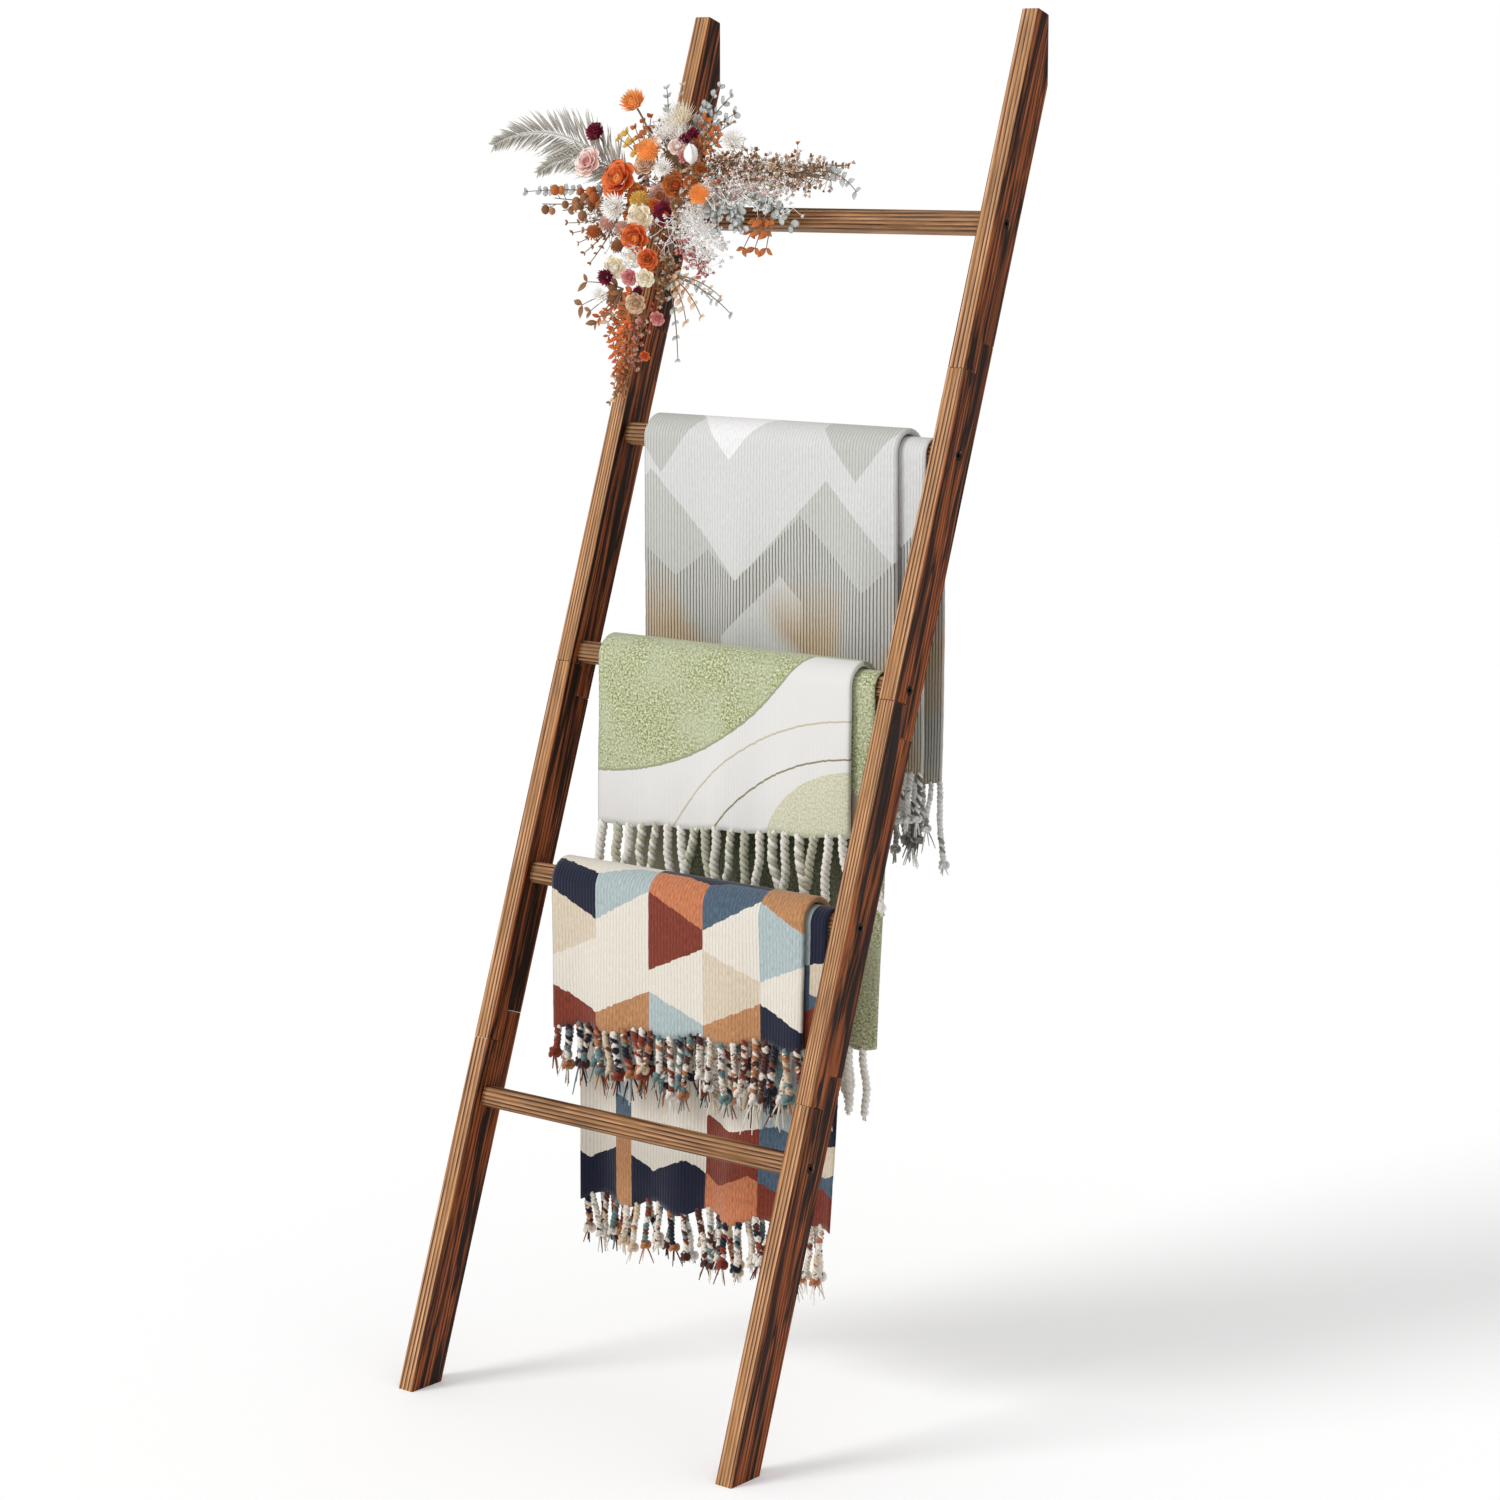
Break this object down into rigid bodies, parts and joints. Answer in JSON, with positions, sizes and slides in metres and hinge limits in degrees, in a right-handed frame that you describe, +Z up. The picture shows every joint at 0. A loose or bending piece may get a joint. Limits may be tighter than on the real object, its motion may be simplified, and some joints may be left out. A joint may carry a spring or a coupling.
{
  "type": "leaning blanket rack with throws",
  "caption": "Leaning wooden ladder rack with fringed throws folded over its rungs and a spray of dried flowers tied to one rail.",
  "frame": {"origin": "middle of the corner where the wall meets the floor, behind the rack and halfway between its rails", "axes": "+Z up, +Y into the wall, +X to the right seen from in front; the rack stands at negative Y"},
  "size_m": [0.708, 0.5393, 1.5125],
  "materials": {
    "burnt_pine": "flame-burnt and brushed pine, satin",
    "black_steel": "black oxide, satin",
    "grey_cotton": "ribbed woven cotton, matt",
    "green_cotton": "woven chenille and cotton, matt",
    "cream_cotton": "ribbed woven chenille, matt",
    "grey_yarn": "twisted cotton yarn, matt",
    "green_yarn": "twisted cotton yarn, matt",
    "mixed_yarn": "twisted cotton yarn, matt",
    "dried_flowers": "dried and cloth petals, matt",
    "jute": "jute twine, matt"
  },
  "bodies": {
    "rack": {"left_rail_foot": "burnt_pine", "left_rail_lower": "burnt_pine", "left_rail_upper": "burnt_pine", "left_rail_top": "burnt_pine", "right_rail_foot": "burnt_pine", "right_rail_lower": "burnt_pine", "right_rail_upper": "burnt_pine", "right_rail_top": "burnt_pine", "rung_1": "burnt_pine", "rung_2": "burnt_pine", "rung_3": "burnt_pine", "rung_4": "burnt_pine", "rung_5": "burnt_pine", "left_bolt_1": "black_steel", "left_bolt_2": "black_steel", "left_bolt_3": "black_steel", "left_bolt_4": "black_steel", "left_bolt_5": "black_steel", "right_bolt_1": "black_steel", "right_bolt_2": "black_steel", "right_bolt_3": "black_steel", "right_bolt_4": "black_steel", "right_bolt_5": "black_steel", "left_lap_screw_low": "black_steel", "left_lap_screw_mid": "black_steel", "left_lap_screw_high": "black_steel", "right_lap_screw_low": "black_steel", "right_lap_screw_mid": "black_steel", "right_lap_screw_high": "black_steel", "floral_heart": "dried_flowers", "floral_left_arm": "dried_flowers", "floral_right_arm": "dried_flowers", "floral_crown": "dried_flowers", "floral_tail": "dried_flowers", "spray_tie_upper": "jute", "spray_tie_lower": "jute"},
    "upper_throw": {"upper_throw": "grey_cotton", "upper_fringe_front": "grey_yarn", "upper_fringe_back": "grey_yarn"},
    "middle_throw": {"middle_throw": "green_cotton", "middle_fringe_front": "green_yarn", "middle_fringe_back": "green_yarn"},
    "lower_throw": {"lower_throw": "cream_cotton", "lower_fringe_front": "mixed_yarn", "lower_fringe_back": "mixed_yarn"}
  },
  "joints": [
    {"name": "upper_throw_slide", "type": "slide", "parent": "rack", "child": "upper_throw", "axis": [1, 0, 0], "range_m": [-0.033, 0.004]},
    {"name": "middle_throw_slide", "type": "slide", "parent": "rack", "child": "middle_throw", "axis": [1, 0, 0], "range_m": [-0.042, 0.004]},
    {"name": "lower_throw_slide", "type": "slide", "parent": "rack", "child": "lower_throw", "axis": [1, 0, 0], "range_m": [-0.042, 0.005]}
  ]
}
